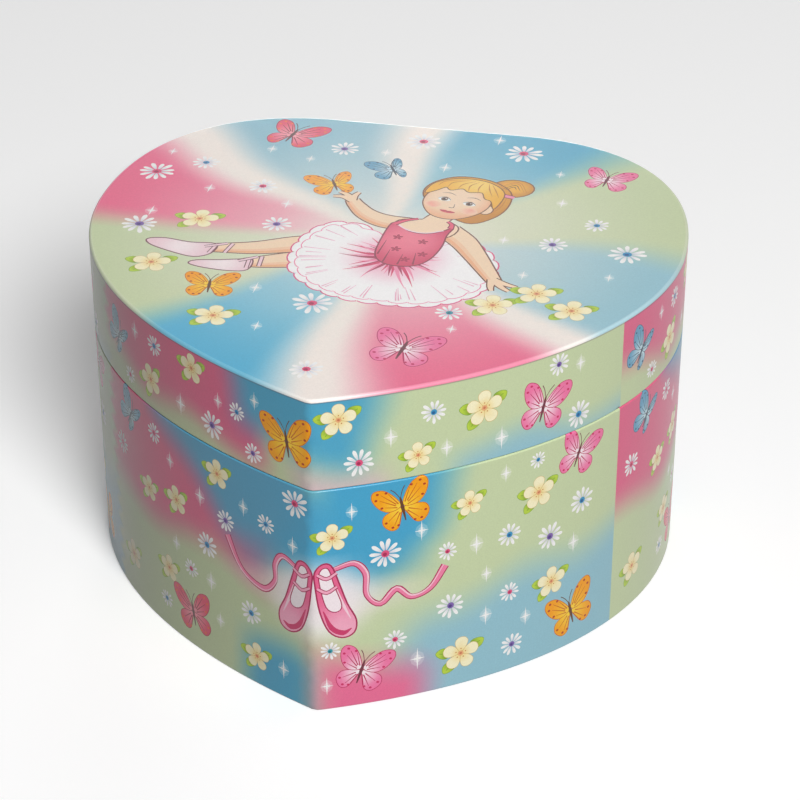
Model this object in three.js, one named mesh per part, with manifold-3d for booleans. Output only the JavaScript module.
// A heart-shaped wind-up music box for jewellery, in millimetres, +Z up.
// The tip of the heart points to -Y, the hinged back is at +Y, and the box stands on z = 0.
// The walls are board covered with printed paper. A card lining, partitions and a deck divide the
// inside, an 18-note movement sits under the deck, and a dancer on a spring stands on its drive shaft.
import * as THREE from "three";
import { mergeVertices } from "three/addons/utils/BufferGeometryUtils.js";
import Module from "manifold-3d";

const wasm = await Module();
wasm.setup();

// ---- Driving dimensions ----
const HALF_WIDTH = 80; // of the heart, at its widest line
const TIP_REACH = 93; // from the widest line to the sharp tip
const BACK_REACH = 60; // from the widest line to the flat back
const TIP_SLOPE = THREE.MathUtils.degToRad(22.8); // of each side where it leaves the tip
const TIP_HANDLE = 55.5; // Bezier handle lengths of the side and lobe curves
const SIDE_HANDLE_FRONT = 37.2;
const SIDE_HANDLE_BACK = 39.5;
const BACK_HANDLE = 30.5;
const BACK_FLAT_HALF = 27.5; // half the straight length that carries the hinges
const TIP_RADIUS = 3;
const SIDE_STEPS = 10;
const LOBE_STEPS = 9;
const TIP_STEPS = 2;

const HEIGHT = 93.3;
const BASE_TOP = 67.1;
const SEAM = 0.3;
const LID_BOTTOM = BASE_TOP + SEAM;

const GAP = 0.3; // between pieces that touch
const FAR = 100; // beyond the box on every side
const PAPER = 0.5;
const BOARD = 3;
const LINING = 1;
const WALL_IN = PAPER + GAP; // insets from the heart's outline
const WALL_OUT = WALL_IN + BOARD;
const LINING_IN = WALL_OUT + GAP;
const LINING_OUT = LINING_IN + LINING;
const INSIDE = LINING_OUT + GAP;

const FLOOR_Z = 12; // underside of the floor: the recess below it holds the key
const FLOOR_TOP = FLOOR_Z + BOARD;
const LOW = FLOOR_TOP + GAP; // where things standing on the floor begin

// Hinges, outside the flat back
const KNUCKLE_R = 1.6;
const LEAF = 0.8; // thickness of a leaf
const HINGE_OFF = GAP + KNUCKLE_R; // from the back face to the hinge line
const HINGE_LENGTH = 20;
const HINGE_X = 16.5;
const LEAF_HEIGHT = 8.5;
const PIN_R = 0.6;
const PIN_BORE = 0.92;
const NAIL_DX = 6.5;
const NAIL_UP = 6; // from the hinge line to the nails

const TIP_LOST = TIP_RADIUS * (1 / Math.cos(TIP_SLOPE) - 1); // what rounding takes off the tip
const BACK = (TIP_REACH + BACK_REACH - TIP_LOST - HINGE_OFF - KNUCKLE_R) / 2; // y of the back face
const WIDEST = BACK - BACK_REACH;
const TIP = WIDEST - TIP_REACH;
const HINGE_Y = BACK + HINGE_OFF;
const HINGE_Z = BASE_TOP + SEAM / 2;

// Inside layout
const CROSS_Y = 7.5; // back face of the partition behind the front compartment
const SIDE_X = 41; // inner faces of the partitions at each side of the deck
const PARTITION = 2.5;
const PARTITION_TOP = 58;
const DECK_Z = 37.8;
const DECK = 2;
const DECK_TOP = DECK_Z + DECK;
const PAD = 1.5;
const CLEAT = 4;
const ROLLS = 3;
const ROLL_WIDTH = 11;
const ROLL_PITCH = 12;
const ROLL_HEIGHT = 24;

// Inside the lid
const PANEL_Z = HEIGHT - PAPER - GAP - BOARD;
const LID_PAD_TOP = PANEL_Z - GAP;
const MIRROR = 2;
const MIRROR_TOP = LID_PAD_TOP - PAD - GAP;
const MIRROR_IN = 16; // inset of the glass from the outline
const TRIM = 2.4;
const TRIM_WIDTH = 2.2;
const RAIL_HALF = 27; // half the length of the rail that works the stop wire
const RAIL_DEPTH = 4;

// Movement. The barrel turns about a vertical axis, and its crown teeth drive the drum's pinion.
const AXIS_Y = 43;
const BED = 2;
const BED_TOP = LOW + BED;
const ARBOR_R = 1.5;
const ARBOR_BORE = 2;
const BARREL_Z = BED_TOP + 0.6;
const BARREL_H = 7;
const BARREL_R = 10.5;
const BARREL_WALL = 0.7;
const BARREL_LID = 1.5;
const BARREL_TOP = BARREL_Z + BARREL_H;
const SPRING_TURNS = 3;
const CROWN_TEETH = 30;
const CROWN_IN = 8.3;
const CROWN_H = 1.2;
const CROWN_PITCH_R = 9.4;
const DRUM_PINION_TEETH = 12;
const DRUM_PINION_R = (CROWN_PITCH_R * DRUM_PINION_TEETH) / CROWN_TEETH;
const DRUM_PINION_X = 8.3;
const DRUM_PINION_W = 2.2;
const DRUM_Z = BARREL_TOP + 0.75 + DRUM_PINION_R; // height of the drum's axis
const AXLE_R = 0.8;
const DRUM_R = 6.3;
const DRUM_X = 13;
const NOTES = 18;
const NOTE_PITCH = 0.9;
const DRUM_LENGTH = (NOTES + 0.4) * NOTE_PITCH;
const PIN_UP = 0.6; // how far a music pin stands out of the drum
const PINS_PER_NOTE = 2;
const MODULE = 0.45;
const ADDENDUM = 0.3;
const DEDENDUM = 0.45;
const GEAR_X = DRUM_X + DRUM_LENGTH + 0.4;
const GEAR_W = 1.3;
const DRUM_GEAR_TEETH = 30;
const GOVERNOR_PINION_TEETH = 10;
const GOVERNOR_WHEEL_TEETH = 16;
const WORM_STARTS = 2;
const GOVERNOR_Y = AXIS_Y + ((DRUM_GEAR_TEETH + GOVERNOR_PINION_TEETH) * MODULE) / 2;
const GOVERNOR_WHEEL_R = (GOVERNOR_WHEEL_TEETH * MODULE) / 2;
const GOVERNOR_WHEEL_X = GEAR_X + GEAR_W + 1;
const GOVERNOR_WHEEL_W = 0.9;
const GOVERNOR_AXLE_R = 0.6;
const WORM_R = 1.5;
const WORM_X = GOVERNOR_WHEEL_X + GOVERNOR_WHEEL_W / 2;
const WORM_Y = GOVERNOR_Y + GOVERNOR_WHEEL_R + WORM_R;
const WORM_LEAD = WORM_STARTS * Math.PI * MODULE;
const WORM_SHAFT_R = 0.5;
const FAN_Z = BED_TOP + 1.2;
const FAN_H = 3.6;
const FAN_R = 4.4;
const BRACKET_TOP = 36;
const BRACKET_PLATE = 1.8;
const COMB_Z = DRUM_Z - 0.3; // underside of the comb
const COMB_TOOTH = 0.6; // width and thickness of a tooth
const COMB_BODY = 1.4;
const COMB_TIP_Y = AXIS_Y - DRUM_R - PIN_UP - 0.4;
const COMB_Y = 20;
const screwSpots = [[-10, 21], [-10, 64]]; // mounting screws, up through the floor
const SCREW_R = 0.9;
const SCREW_HOLE = 1.3;
const STOP_X = 24;
const STOP_Y = 67;
const STOP_R = 0.5;

// The winding key, in the recess under the floor
const KEY_Z = 1.6;
const KEY_TOP = 10.4;
const KEY_WING_X = 6.4;
const KEY_WING_R = 4.2;

// Dancer, on a turning stand whose stem is driven by the barrel
const STEM_R = 1.2;
const STAND_Z = DECK_TOP + 0.6;
const STAND_H = 1.5;
const STAND_R = 7.5;
const COIL_Z = STAND_Z + STAND_H + GAP;
const COIL_H = 5; // under the closed lid
const COIL_R = 2.6;
const COIL_WIRE = 0.45;
const COIL_TURNS = 4;
const DANCER_Z = COIL_Z + COIL_H + GAP;
const TUTU_R = 11;

const Y_UP = new THREE.Vector3(0, 1, 0);

// ---- Solids: closed meshes in and out of manifold-3d ----
function solid(geometry) {
  const bare = geometry.index ? geometry.toNonIndexed() : geometry.clone();
  bare.deleteAttribute("normal");
  bare.deleteAttribute("uv");
  const merged = mergeVertices(bare, 1e-4);
  return new wasm.Manifold(
    new wasm.Mesh({
      numProp: 3,
      vertProperties: merged.attributes.position.array,
      triVerts: new Uint32Array(merged.index.array),
    }),
  );
}

function geometryOf(body) {
  const mesh = body.getMesh();
  return new THREE.BufferGeometry()
    .setAttribute("position", new THREE.BufferAttribute(mesh.vertProperties, 3))
    .setIndex(new THREE.BufferAttribute(mesh.triVerts, 1));
}

const join = (...bodies) => bodies.reduce((sum, body) => sum.add(body));
const cut = (body, ...tools) => tools.reduce((rest, tool) => rest.subtract(tool), body);

function block(x0, x1, y0, y1, z0, z1) {
  const made = new THREE.BoxGeometry(x1 - x0, y1 - y0, z1 - z0);
  made.translate((x0 + x1) / 2, (y0 + y1) / 2, (z0 + z1) / 2);
  return solid(made);
}

// A cone or cylinder from one point to another.
function rod(from, to, r0, r1 = r0, sides = 12) {
  const a = new THREE.Vector3(...from);
  const b = new THREE.Vector3(...to);
  const along = b.clone().sub(a);
  const made = new THREE.CylinderGeometry(r1, r0, along.length(), sides);
  made.applyQuaternion(new THREE.Quaternion().setFromUnitVectors(Y_UP, along.normalize()));
  made.translate(...a.add(b).multiplyScalar(0.5).toArray());
  return solid(made);
}

function ball(centre, radius, scale = [1, 1, 1], sides = 12) {
  const made = new THREE.SphereGeometry(radius, sides, Math.max(6, sides - 4));
  made.scale(...scale);
  made.translate(...centre);
  return solid(made);
}

// A profile of [radius, z] points turned about the vertical line through (x, y).
function turned(profile, x, y, sides) {
  const points = profile.map(([r, z]) => new THREE.Vector2(r, z));
  const made = new THREE.LatheGeometry(points, sides);
  made.rotateX(Math.PI / 2);
  made.translate(x, y, 0);
  return solid(made);
}

function extruded(points, depth, holes = []) {
  const shape = new THREE.Shape(points);
  shape.holes = holes.map((hole) => new THREE.Path(hole));
  return new THREE.ExtrudeGeometry(shape, { depth, bevelEnabled: false, steps: 1 });
}

// ---- The heart's outline ----
// One half runs from the tip up the right side and round the lobe to the middle of the back.
const sideCurve = new THREE.CubicBezierCurve(
  new THREE.Vector2(0, TIP),
  new THREE.Vector2(TIP_HANDLE * Math.cos(TIP_SLOPE), TIP + TIP_HANDLE * Math.sin(TIP_SLOPE)),
  new THREE.Vector2(HALF_WIDTH, WIDEST - SIDE_HANDLE_FRONT),
  new THREE.Vector2(HALF_WIDTH, WIDEST),
);
const lobeCurve = new THREE.CubicBezierCurve(
  new THREE.Vector2(HALF_WIDTH, WIDEST),
  new THREE.Vector2(HALF_WIDTH, WIDEST + SIDE_HANDLE_BACK),
  new THREE.Vector2(BACK_FLAT_HALF + BACK_HANDLE, BACK),
  new THREE.Vector2(BACK_FLAT_HALF, BACK),
);

function offsetPoint(curve, t, inset) {
  const along = curve.getTangent(t);
  return curve.getPoint(t).add(new THREE.Vector2(-along.y, along.x).multiplyScalar(inset));
}

// Where the side curve, moved inwards by an inset, crosses the middle line.
function crossing(inset) {
  let low = 0;
  let high = 0.5;
  for (let i = 0; i < 40; i++) {
    const middle = (low + high) / 2;
    if (offsetPoint(sideCurve, middle, inset).x > 0) high = middle;
    else low = middle;
  }
  return high;
}

function heart(inset) {
  const round = Math.max(TIP_RADIUS, inset);
  const start = crossing(round);
  const centre = offsetPoint(sideCurve, start, round);
  const radius = round - inset;
  const first = offsetPoint(sideCurve, start, inset);
  const half = [new THREE.Vector2(0, radius > 0 ? centre.y - radius : first.y)];
  if (radius > 0) {
    const end = Math.atan2(first.y - centre.y, first.x);
    for (let i = 1; i < TIP_STEPS; i++) {
      const angle = -Math.PI / 2 + ((end + Math.PI / 2) * i) / TIP_STEPS;
      half.push(new THREE.Vector2(Math.cos(angle), Math.sin(angle)).multiplyScalar(radius));
      half.at(-1).y += centre.y;
    }
    half.push(first);
  }
  for (let i = 1; i <= SIDE_STEPS; i++) {
    half.push(offsetPoint(sideCurve, start + ((1 - start) * i) / SIDE_STEPS, inset));
  }
  for (let i = 1; i <= LOBE_STEPS; i++) half.push(offsetPoint(lobeCurve, i / LOBE_STEPS, inset));
  const left = half.slice(1).map((p) => new THREE.Vector2(-p.x, p.y));
  return [...half, ...left.reverse()];
}

function heartPlate(inset, z0, z1) {
  return solid(extruded(heart(inset), z1 - z0).translate(0, 0, z0));
}

function heartRing(outer, inner, z0, z1) {
  return solid(extruded(heart(outer), z1 - z0, [heart(inner)]).translate(0, 0, z0));
}

// ---- Colours and the group ----
const finish = (color, roughness, metalness = 0) =>
  new THREE.MeshStandardMaterial({ color, roughness, metalness });
const PRINT = finish(0x9fc9c6, 0.45);
const CARD = finish(0xb9a68c, 0.9);
const VELVET = finish(0xe58fb0, 0.95);
const MIRROR_GLASS = finish(0xdfe6ea, 0.05, 1);
const BRASS = finish(0xc9a24a, 0.35, 1);
const STEEL = finish(0xb9bcc0, 0.35, 1);
const ZINC = finish(0x9a9da1, 0.5, 1);
const FIGURE = finish(0xf3d9c8, 0.5);
const TULLE = finish(0xf8e3ea, 0.9);
const NYLON = finish(0xeceae2, 0.5);

const root = new THREE.Group();
function add(name, body, material) {
  const mesh = new THREE.Mesh(geometryOf(body), material);
  mesh.name = name;
  root.add(mesh);
}

// ---- Hinges ----
const hingeSides = [["left", -HINGE_X], ["right", HINGE_X]];
const nailXs = hingeSides.flatMap(([, x]) => [x - NAIL_DX, x + NAIL_DX]);
const nailHole = (x, z) => rod([x, BACK - WALL_OUT + GAP, z], [x, BACK + 3, z], 0.8, 0.8, 8);
const nailHoles = (z) => nailXs.map((x) => nailHole(x, z));

function alongHinge(x0, x1, radius, sides = 16) {
  return rod([x0, HINGE_Y, HINGE_Z], [x1, HINGE_Y, HINGE_Z], radius, radius, sides);
}

// way is 1 for the lid's leaf, which holds the middle knuckle, and -1 for the base's leaf.
function hingeLeaf(x, way) {
  const third = HINGE_LENGTH / 3;
  const edges = [0, 1, 2, 3].map((i) => x - HINGE_LENGTH / 2 + i * third);
  const own = way > 0 ? [1] : [0, 2];
  const others = way > 0 ? [0, 2] : [1];
  const zs = [HINGE_Z + way * 0.4, HINGE_Z + way * LEAF_HEIGHT].sort((a, b) => a - b);
  const plate = block(edges[0], edges[3], BACK + GAP, BACK + GAP + LEAF, ...zs);
  const knuckles = own.map((i) => alongHinge(edges[i] + 0.15, edges[i + 1] - 0.15, KNUCKLE_R));
  const room = others.map((i) => alongHinge(edges[i] - 0.15, edges[i + 1] + 0.15, KNUCKLE_R + GAP));
  const bore = alongHinge(edges[0] - 1, edges[3] + 1, PIN_BORE);
  const holes = [-1, 1].map((end) => nailHole(x + end * NAIL_DX, HINGE_Z + way * NAIL_UP));
  return cut(join(plate, ...knuckles), ...room, bore, ...holes);
}

function nail(x, z) {
  const face = BACK + GAP + LEAF + GAP;
  const shank = rod([x, BACK - BOARD + GAP, z], [x, face + 0.2, z], 0.5, 0.5, 8);
  return join(shank, rod([x, face, z], [x, face + 0.5, z], 1.2, 0.9, 10));
}

function addHinges() {
  const half = HINGE_LENGTH / 2;
  for (const [side, x] of hingeSides) {
    add(`hinge_leaf_base_${side}`, hingeLeaf(x, -1), BRASS);
    add(`hinge_leaf_lid_${side}`, hingeLeaf(x, 1), BRASS);
    add(`hinge_pin_${side}`, alongHinge(x - half + 0.2, x + half - 0.2, PIN_R, 12), STEEL);
  }
  nailXs.forEach((x, i) => {
    add(`hinge_nail_base_${i + 1}`, nail(x, HINGE_Z - NAIL_UP), BRASS);
    add(`hinge_nail_lid_${i + 1}`, nail(x, HINGE_Z + NAIL_UP), BRASS);
  });
}

// ---- Lid ----
function addLid() {
  const holes = nailHoles(HINGE_Z + NAIL_UP);
  const cap = cut(
    heartPlate(0, LID_BOTTOM, HEIGHT),
    heartPlate(PAPER, LID_BOTTOM - 1, HEIGHT - PAPER),
  );
  add("lid_wrap", cut(cap, ...holes), PRINT);
  add("lid_wall", cut(heartRing(WALL_IN, WALL_OUT, LID_BOTTOM, LID_PAD_TOP), ...holes), CARD);
  add("lid_panel", heartPlate(WALL_IN, PANEL_Z, PANEL_Z + BOARD), CARD);
  add("lid_lining", heartRing(LINING_IN, LINING_OUT, LID_BOTTOM + 0.6, LID_PAD_TOP), VELVET);
  add("lid_pad", heartPlate(INSIDE, LID_PAD_TOP - PAD, LID_PAD_TOP), VELVET);
  add("mirror", heartPlate(MIRROR_IN, MIRROR_TOP - MIRROR, MIRROR_TOP), MIRROR_GLASS);
  const trim = heartRing(MIRROR_IN - GAP - TRIM_WIDTH, MIRROR_IN - GAP, MIRROR_TOP - TRIM, MIRROR_TOP);
  add("mirror_trim", trim, TULLE);
  const railBack = BACK - INSIDE - GAP;
  const rail = block(
    -RAIL_HALF, RAIL_HALF, railBack - RAIL_DEPTH, railBack, LID_BOTTOM + 0.3, LID_BOTTOM + 6,
  );
  add("lid_rail", rail, VELVET);
}

// ---- Base ----
function addShell() {
  add("base_wrap", cut(heartRing(0, PAPER, 0, BASE_TOP), ...nailHoles(HINGE_Z - NAIL_UP)), PRINT);
  const wall = heartRing(WALL_IN, WALL_OUT, 0, BASE_TOP);
  add("base_wall", cut(wall, ...nailHoles(HINGE_Z - NAIL_UP)), CARD);
  const arborHole = rod([0, AXIS_Y, FLOOR_Z - 1], [0, AXIS_Y, FLOOR_TOP + 1], ARBOR_BORE);
  const screwHoles = screwSpots.map(([x, y]) =>
    rod([x, y, FLOOR_Z - 1], [x, y, FLOOR_TOP + 1], SCREW_HOLE, SCREW_HOLE, 10),
  );
  const floor = heartPlate(WALL_OUT + GAP, FLOOR_Z, FLOOR_TOP);
  add("base_floor", cut(floor, arborHole, ...screwHoles), CARD);
  add("base_lining", heartRing(LINING_IN, LINING_OUT, LOW, BASE_TOP - 0.6), VELVET);
}

const within = (inset, x0, x1, y0, y1, z0, z1) =>
  block(x0, x1, y0, y1, z0, z1).intersect(heartPlate(inset, z0 - 1, z1 + 1));

function addCompartments() {
  const crossFront = CROSS_Y - PARTITION;
  const behind = CROSS_Y + GAP;
  const beside = SIDE_X + PARTITION + GAP;
  const across = within(INSIDE, -FAR, FAR, crossFront, CROSS_Y, LOW, PARTITION_TOP);
  add("partition_cross", across, VELVET);
  const padTop = LOW + PAD;
  add("floor_pad_front", within(INSIDE, -FAR, FAR, -FAR, crossFront - GAP, LOW, padTop), VELVET);
  for (const [side, way] of [["left", -1], ["right", 1]]) {
    const xs = (a, b) => [way * a, way * b].sort((p, q) => p - q);
    const board = xs(SIDE_X, SIDE_X + PARTITION);
    add(`partition_${side}`, within(INSIDE, ...board, behind, FAR, LOW, PARTITION_TOP), VELVET);
    add(`floor_pad_${side}`, within(INSIDE, ...xs(beside, FAR), behind, FAR, LOW, padTop), VELVET);
    const cleat = xs(SIDE_X - GAP - CLEAT, SIDE_X - GAP);
    const cleatTop = DECK_Z - GAP;
    add(`deck_cleat_${side}`, block(...cleat, behind + 3, 62, cleatTop - CLEAT, cleatTop), CARD);
  }
  const edge = SIDE_X - GAP;
  const deck = within(INSIDE, -edge, edge, behind, FAR, DECK_Z, DECK_TOP);
  const stemHole = rod([0, AXIS_Y, DECK_Z - 1], [0, AXIS_Y, DECK_TOP + 1], STEM_R + 0.8);
  const pinHole = rod([STOP_X, STOP_Y, DECK_Z - 1], [STOP_X, STOP_Y, DECK_TOP + 1], STOP_R + 0.5);
  add("deck", cut(deck, stemHole, pinHole), VELVET);
}

// Padded bars that hold rings between them, side by side in the right compartment.
function addRingRolls() {
  const bottom = LOW + PAD + GAP;
  const radius = ROLL_WIDTH / 2;
  for (let i = 0; i < ROLLS; i++) {
    const section = new THREE.Shape();
    section.moveTo(-radius, 0);
    section.lineTo(radius, 0);
    section.absarc(0, ROLL_HEIGHT - radius, radius, 0, Math.PI, false);
    const points = section.getPoints(5).slice(0, -1);
    const bar = extruded(points, FAR).rotateX(Math.PI / 2).rotateZ(Math.PI / 2);
    const x = SIDE_X + PARTITION + GAP + 0.5;
    const y = CROSS_Y + 1 + radius + i * ROLL_PITCH;
    const shaped = solid(bar.translate(x, y, bottom)).intersect(
      heartPlate(INSIDE + 1, bottom - 1, bottom + ROLL_HEIGHT + 1),
    );
    add(`ring_roll_${i + 1}`, shaped, VELVET);
  }
}

// ---- Movement: gears ----
// A tooth's corners, as fractions of the pitch across it and as steps out from the pitch circle.
const toothCorners = [[-0.26, -DEDENDUM], [-0.12, ADDENDUM], [0.12, ADDENDUM], [0.26, -DEDENDUM]];

// phase is the place of the first tooth, in pitches.
function gearPoints(teeth, pitchRadius, phase, corners = toothCorners) {
  const points = [];
  for (let i = 0; i < teeth; i++) {
    for (const [across, out] of corners) {
      const angle = ((i + phase + across) * 2 * Math.PI) / teeth;
      const radius = pitchRadius + out;
      points.push(new THREE.Vector2(radius * Math.cos(angle), radius * Math.sin(angle)));
    }
  }
  return points;
}

// A gear on an axle along X, whose teeth are counted from straight down.
function gearAlongX(x, width, y, teeth, pitchRadius, phase) {
  const made = extruded(gearPoints(teeth, pitchRadius, phase), width);
  return solid(made.rotateY(Math.PI / 2).translate(x, y, DRUM_Z));
}

const axleAlongX = (x0, x1, y, radius, sides = 12) =>
  rod([x0, y, DRUM_Z], [x1, y, DRUM_Z], radius, radius, sides);

// ---- Movement: spring barrel, arbor and key ----
function addDrive() {
  const inner = BARREL_R - BARREL_WALL;
  const under = BARREL_TOP - BARREL_LID;
  const wall = [[inner, under], [inner, BARREL_Z], [BARREL_R, BARREL_Z], [BARREL_R, BARREL_TOP]];
  const cup = turned([[0, under], ...wall, [0, BARREL_TOP]], 0, AXIS_Y, 30);
  const teeth = [];
  for (let i = 0; i < CROWN_TEETH; i++) {
    const pitch = (2 * Math.PI) / CROWN_TEETH;
    const half = 0.19 * pitch;
    const angle = (i + 0.5) * pitch;
    const corner = (r, a) => new THREE.Vector2(r * Math.cos(a), r * Math.sin(a));
    const out = BARREL_R - 0.1;
    const corners = [[CROWN_IN, -half], [out, -half], [out, half], [CROWN_IN, half]];
    const points = corners.map(([r, a]) => corner(r, angle + a));
    teeth.push(solid(extruded(points, CROWN_H + 0.4).translate(0, AXIS_Y, BARREL_TOP - 0.4)));
  }
  add("spring_barrel", join(cup, ...teeth), BRASS);

  const arborTop = BARREL_TOP - BARREL_LID - GAP;
  add("winding_arbor", rod([0, AXIS_Y, KEY_Z + 3], [0, AXIS_Y, arborTop], ARBOR_R), STEEL);
  addMainspring(ARBOR_R + 1, BARREL_R - BARREL_WALL - 0.6, BARREL_Z + 0.6, under - 0.6);

  const socket = rod([0, AXIS_Y, KEY_Z + 2.6], [0, AXIS_Y, KEY_TOP + 1], ARBOR_R + GAP);
  const boss = rod([0, AXIS_Y, KEY_Z], [0, AXIS_Y, KEY_TOP], 3, 3, 16);
  const middle = KEY_Z + KEY_WING_R;
  const acrossWing = (x, radius, sides) =>
    rod([x, AXIS_Y - 0.9, middle], [x, AXIS_Y + 0.9, middle], radius, radius, sides);
  const wings = [-1, 1].map((way) => acrossWing(way * KEY_WING_X, KEY_WING_R, 20));
  const eyes = [-1, 1].map((way) => acrossWing(way * (KEY_WING_X + 0.8), 1.4, 10));
  add("winding_key", cut(join(boss, ...wings), socket, ...eyes), BRASS);
}

// A spiral strip between two radii.
function addMainspring(innerRadius, outerRadius, z0, z1) {
  const thickness = 0.5;
  const steps = SPRING_TURNS * 16;
  const point = (i, out) => {
    const angle = (i / steps) * SPRING_TURNS * 2 * Math.PI;
    const radius = innerRadius + ((outerRadius - innerRadius - thickness) * i) / steps + out;
    return new THREE.Vector2(radius * Math.cos(angle), radius * Math.sin(angle));
  };
  const outside = Array.from({ length: steps + 1 }, (_, i) => point(i, thickness));
  const inside = Array.from({ length: steps + 1 }, (_, i) => point(steps - i, 0));
  const strip = extruded([...outside, ...inside], z1 - z0).translate(0, AXIS_Y, z0);
  add("mainspring", solid(strip), STEEL);
}

// ---- Movement: pinned drum and comb ----
function addDrum() {
  const end = GEAR_X + GEAR_W;
  const pinion = gearAlongX(DRUM_PINION_X, DRUM_PINION_W, AXIS_Y, DRUM_PINION_TEETH, DRUM_PINION_R, 0);
  const axle = axleAlongX(DRUM_PINION_X + 0.5, end + 2.4, AXIS_Y, AXLE_R);
  add("drum_arbor", join(axle, pinion), STEEL);

  const bore = axleAlongX(DRUM_X - 1, end + 1, AXIS_Y, AXLE_R + GAP);
  const pins = [];
  for (let note = 0; note < NOTES; note++) {
    const x = DRUM_X + (note + 0.7) * NOTE_PITCH;
    for (let i = 0; i < PINS_PER_NOTE; i++) {
      const angle = note * 2.4 + (i * 2 * Math.PI) / PINS_PER_NOTE + 0.35 * ((note * i) % 4);
      const at = (r) => [x, AXIS_Y + r * Math.cos(angle), DRUM_Z + r * Math.sin(angle)];
      pins.push(rod(at(DRUM_R - 0.4), at(DRUM_R + PIN_UP), 0.24, 0.18, 4));
    }
  }
  const drum = join(axleAlongX(DRUM_X, DRUM_X + DRUM_LENGTH, AXIS_Y, DRUM_R, 28), ...pins);
  add("pin_drum", cut(drum, bore), BRASS);
  const gear = gearAlongX(GEAR_X, GEAR_W, AXIS_Y, DRUM_GEAR_TEETH, (DRUM_GEAR_TEETH * MODULE) / 2, 0.5);
  add("drum_gear", cut(gear, bore), NYLON);
}

const combXs = [DRUM_X + 3.2, DRUM_X + DRUM_LENGTH - 3.2];
const combHole = (x) =>
  rod([x, COMB_Y + 3, BED_TOP + 3], [x, COMB_Y + 3, FAR], SCREW_R + 0.2, SCREW_R + 0.2, 8);

function addComb() {
  const x0 = DRUM_X;
  const x1 = DRUM_X + DRUM_LENGTH;
  const outline = [[x0, COMB_Y], [x1, COMB_Y], [x1, COMB_Y + 10], [x0, COMB_Y + 7]];
  const body = extruded(outline.map(([x, y]) => new THREE.Vector2(x, y)), COMB_BODY);
  const teeth = Array.from({ length: NOTES }, (_, note) => {
    const x = DRUM_X + (note + 0.7) * NOTE_PITCH;
    const half = COMB_TOOTH / 2;
    return block(x - half, x + half, COMB_Y + 6, COMB_TIP_Y, COMB_Z, COMB_Z + COMB_TOOTH);
  });
  const comb = join(solid(body.translate(0, 0, COMB_Z)), ...teeth);
  add("comb", cut(comb, ...combXs.map(combHole)), STEEL);
  combXs.forEach((x, i) => {
    const head = COMB_Z + COMB_BODY + GAP;
    const y = COMB_Y + 3;
    const shank = rod([x, y, COMB_Z - 5], [x, y, head + 0.2], SCREW_R - 0.2, SCREW_R - 0.2, 8);
    const cap = rod([x, y, head], [x, y, head + 1.2], 1.7, 1.5, 12);
    add(`comb_screw_${i + 1}`, join(shank, cap), STEEL);
  });
}

// ---- Movement: bedplate, governor and stop wire ----
function addBed() {
  const plate = block(-14, 38, 17, 67, LOW, BED_TOP);
  const combBlock = block(
    DRUM_X, DRUM_X + DRUM_LENGTH, COMB_Y, COMB_Y + 6, BED_TOP - 0.5, COMB_Z - GAP,
  );
  const post = (x0, x1) => block(x0, x1, AXIS_Y - 2.2, AXIS_Y + 2.2, BED_TOP - 0.5, DRUM_Z + 2.4);
  const leftPost = post(DRUM_PINION_X + DRUM_PINION_W + 0.6, DRUM_X - 0.6);
  const rightPost = post(GEAR_X + GEAR_W + 0.6, GEAR_X + GEAR_W + 2);
  const bearing = axleAlongX(0, 40, AXIS_Y, AXLE_R + 0.2);
  const arborHole = rod([0, AXIS_Y, LOW - 1], [0, AXIS_Y, BED_TOP + 1], ARBOR_BORE);
  const screwHoles = screwSpots.map(([x, y]) =>
    rod([x, y, LOW - 1], [x, y, BED_TOP + 1], SCREW_R + 0.3, SCREW_R + 0.3, 10),
  );
  const wormFoot = rod([WORM_X, WORM_Y, LOW + 1], [WORM_X, WORM_Y, BED_TOP + 1], WORM_SHAFT_R + 0.2);
  const holes = [bearing, arborHole, wormFoot, ...screwHoles, ...combXs.map(combHole)];
  add("movement_bed", cut(join(plate, combBlock, leftPost, rightPost), ...holes), ZINC);
  screwSpots.forEach(([x, y], i) => {
    const head = FLOOR_Z - GAP;
    const shank = rod([x, y, head - 0.2], [x, y, BED_TOP - 0.2], SCREW_R, SCREW_R, 10);
    const cap = rod([x, y, head - 1.4], [x, y, head], 1.9, 2.3, 12);
    add(`movement_screw_${i + 1}`, join(shank, cap), STEEL);
  });
}

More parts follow.
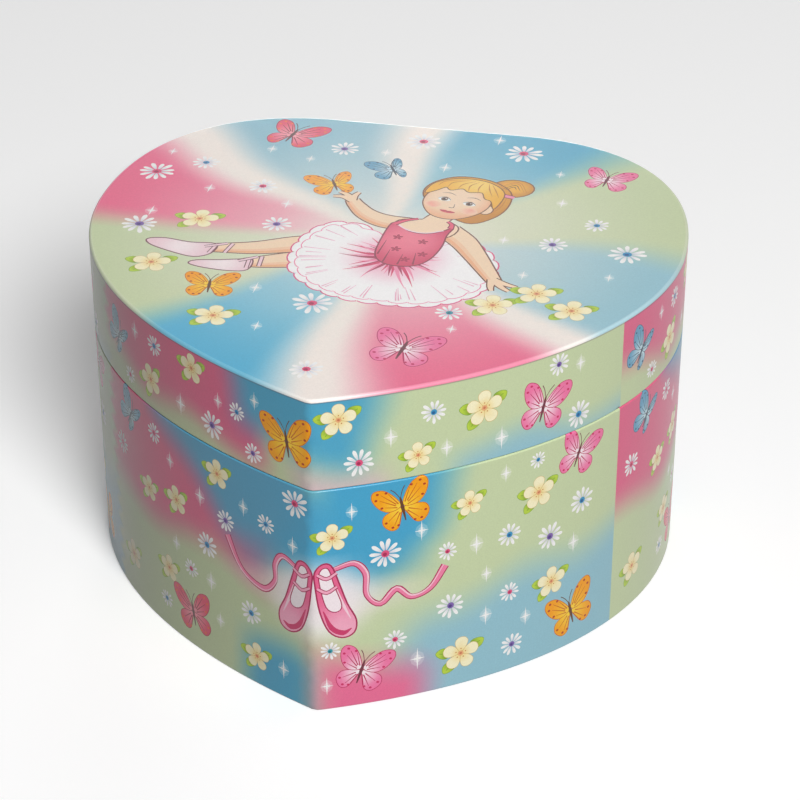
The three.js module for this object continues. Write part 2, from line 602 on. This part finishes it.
function addGovernor() {
  const x0 = GEAR_X - 2.3;
  const x1 = GOVERNOR_WHEEL_X + GOVERNOR_WHEEL_W + 2.4;
  const foot = WORM_Y + FAN_R + 0.9;
  const cheekZ = FAN_Z + FAN_H + 2.6;
  const post = block(x0 + 0.4, x1, foot, foot + 3, BED_TOP + GAP, BRACKET_TOP);
  const top = block(x0, x1, GOVERNOR_Y - 1.6, foot + 3, BRACKET_TOP - BRACKET_PLATE, BRACKET_TOP);
  const cheek = (x) => block(x, x + 1.2, GOVERNOR_Y - 1.6, GOVERNOR_Y + 1.6, cheekZ, BRACKET_TOP);
  const bearing = axleAlongX(x0 - 1, x1 + 1, GOVERNOR_Y, GOVERNOR_AXLE_R + 0.2);
  const pivot = rod([WORM_X, WORM_Y, 30], [WORM_X, WORM_Y, FAR], WORM_SHAFT_R + 0.2);
  const frame = join(post, top, cheek(x0), cheek(x1 - 1.2));
  add("governor_bracket", cut(frame, bearing, pivot), ZINC);

  const pinionR = (GOVERNOR_PINION_TEETH * MODULE) / 2;
  const pinion = gearAlongX(GEAR_X, GEAR_W, GOVERNOR_Y, GOVERNOR_PINION_TEETH, pinionR, 0);
  const wheel = gearAlongX(
    GOVERNOR_WHEEL_X, GOVERNOR_WHEEL_W, GOVERNOR_Y, GOVERNOR_WHEEL_TEETH, GOVERNOR_WHEEL_R, 0,
  );
  const axle = axleAlongX(x0 + 0.2, x1 - 0.2, GOVERNOR_Y, GOVERNOR_AXLE_R);
  add("governor_wheel", join(axle, pinion, wheel), NYLON);
  addWorm();
}

// The worm's section, turned steadily as it rises, makes its two threads.
function addWorm() {
  const low = FAN_Z + FAN_H + 2.4;
  const high = BRACKET_TOP - BRACKET_PLATE - 1;
  const core = 0.9 - WORM_R;
  const corners = [[-0.26, core], [-0.12, ADDENDUM], [0.12, ADDENDUM], [0.26, core]];
  const section = gearPoints(WORM_STARTS, WORM_R, 0, corners);
  const filled = section.flatMap((point, i) => {
    const next = section[(i + 1) % section.length];
    return i % corners.length === corners.length - 1 ? [point, between(point, next)] : [point];
  });
  const steps = 30;
  const shape = new THREE.Shape(filled);
  const thread = new THREE.ExtrudeGeometry(shape, { depth: high - low, steps, bevelEnabled: false });
  thread.translate(0, 0, low);
  const place = thread.attributes.position;
  for (let i = 0; i < place.count; i++) {
    const spot = new THREE.Vector3().fromBufferAttribute(place, i);
    spot.applyAxisAngle(new THREE.Vector3(0, 0, 1), ((spot.z - DRUM_Z) * 2 * Math.PI) / WORM_LEAD);
    place.setXYZ(i, spot.x, spot.y, spot.z);
  }
  const shaftTop = BRACKET_TOP - 0.6;
  const shaft = rod([WORM_X, WORM_Y, LOW + 1.3], [WORM_X, WORM_Y, shaftTop], WORM_SHAFT_R, WORM_SHAFT_R, 10);
  add("worm_shaft", join(shaft, solid(thread.translate(WORM_X, WORM_Y, 0))), STEEL);

  const hub = rod([WORM_X, WORM_Y, FAN_Z], [WORM_X, WORM_Y, FAN_Z + FAN_H], 1.3, 1.3, 12);
  const blades = block(
    WORM_X - FAN_R, WORM_X + FAN_R, WORM_Y - 0.25, WORM_Y + 0.25, FAN_Z, FAN_Z + FAN_H,
  );
  const bore = rod([WORM_X, WORM_Y, FAN_Z - 1], [WORM_X, WORM_Y, FAN_Z + FAN_H + 1], WORM_SHAFT_R + 0.25);
  add("governor_fan", cut(join(hub, blades), bore), NYLON);
}

// The point between two points, kept at the mean of their distances from the axis.
function between(a, b) {
  const middle = a.clone().add(b);
  if (middle.length() < 1e-6) middle.set(-a.y, a.x);
  return middle.setLength((a.length() + b.length()) / 2);
}

// The bent wire that the lid's rail pushes down beside the fan.
function addStopWire() {
  const low = FAN_Z + 1.6;
  const corner = [STOP_X, STOP_Y, low];
  const tip = [WORM_X - 4.6, WORM_Y + 2.9, low];
  const parts = [
    rod(corner, [STOP_X, STOP_Y, LID_BOTTOM - 0.2], STOP_R, STOP_R, 10),
    rod(corner, tip, STOP_R, STOP_R, 10),
    ball(corner, STOP_R * 1.05, [1, 1, 1], 10),
  ];
  add("stop_wire", join(...parts), STEEL);
}

// ---- Dancer ----
class Helix extends THREE.Curve {
  getPoint(t, target = new THREE.Vector3()) {
    const angle = t * COIL_TURNS * 2 * Math.PI;
    const rise = COIL_WIRE + t * (COIL_H - 2 * COIL_WIRE);
    return target.set(COIL_R * Math.cos(angle), AXIS_Y + COIL_R * Math.sin(angle), COIL_Z + rise);
  }
}

function addStand() {
  const stemLow = BARREL_TOP + GAP;
  const stand = turned(
    [[0, stemLow], [STEM_R, stemLow], [STEM_R, STAND_Z], [STAND_R, STAND_Z],
      [STAND_R, STAND_Z + STAND_H - 0.5], [STAND_R - 0.6, STAND_Z + STAND_H], [0, STAND_Z + STAND_H]],
    0, AXIS_Y, 24,
  );
  add("turning_stand", stand, NYLON);
  const wire = new THREE.Shape();
  wire.absarc(0, 0, COIL_WIRE, 0, 2 * Math.PI, false);
  const section = wire.getPoints(3).slice(0, -1);
  const steps = COIL_TURNS * 10;
  const coil = new THREE.ExtrudeGeometry(new THREE.Shape(section), { steps, extrudePath: new Helix() });
  add("coil_spring", solid(coil), STEEL);
}

function addDancer() {
  const at = (x, y, h) => [x, AXIS_Y + y, DANCER_Z + h];
  const limb = (a, b, r0, r1) => rod(at(...a), at(...b), r0, r1, 7);
  const knob = (a, r, scale = [1, 1, 1]) => {
    const made = new THREE.SphereGeometry(r, 7, 5).scale(...scale);
    return solid(made.translate(...at(...a)));
  };
  const parts = [
    limb([0, 0, 0], [0, 0, 1.2], 3.2, 2.9),
    limb([0, 0, 1], [0, 0, 3], 0.7, 0.75),
    limb([0, 0, 3], [0, 0, 8], 0.75, 1.05),
    limb([0, 0, 7.9], [0, 0, 15.2], 1.05, 1.5),
    limb([0.4, 0, 15], [4.6, -2.6, 11.4], 1.4, 1),
    knob([4.6, -2.6, 11.4], 1.03),
    limb([4.6, -2.6, 11.4], [0.9, -1.6, 7.6], 0.95, 0.55),
    limb([0, 0, 14.6], [0, 0, 18.5], 1.9, 1.45),
    limb([0, 0, 18.4], [0, 0, 22.6], 1.45, 2.15),
    limb([0, 0, 22.5], [0, 0, 24.2], 2.15, 1.1),
    limb([0, 0, 24], [0, 0, 26.3], 0.75, 0.75),
    knob([0, -0.1, 27.9], 2, [0.88, 0.95, 1.12]),
    knob([0, 1.4, 29.6], 1.15),
  ];
  for (const way of [-1, 1]) {
    parts.push(knob([way * 2, 0, 23.3], 0.85));
    parts.push(limb([way * 2, 0, 23.3], [way * 4.9, -0.6, 28.2], 0.75, 0.6));
    parts.push(knob([way * 4.9, -0.6, 28.2], 0.62));
    parts.push(limb([way * 4.9, -0.6, 28.2], [way * 1, -1.3, 34.2], 0.6, 0.4));
    parts.push(knob([way * 1, -1.3, 34.2], 0.6, [1, 1, 1.3]));
  }
  add("dancer", join(...parts), FIGURE);
  const skirt = [[2.7, 16.9], [TUTU_R, 15.9], [TUTU_R, 16.6], [2.7, 18.3]];
  const profile = skirt.map(([r, h]) => [r, DANCER_Z + h]);
  add("tutu", turned([...profile, profile[0]], 0, AXIS_Y, 28), TULLE);
}

addShell();
addCompartments();
addRingRolls();
addBed();
addDrive();
addDrum();
addComb();
addGovernor();
addStopWire();
addStand();
addDancer();
addLid();
addHinges();

export default root;
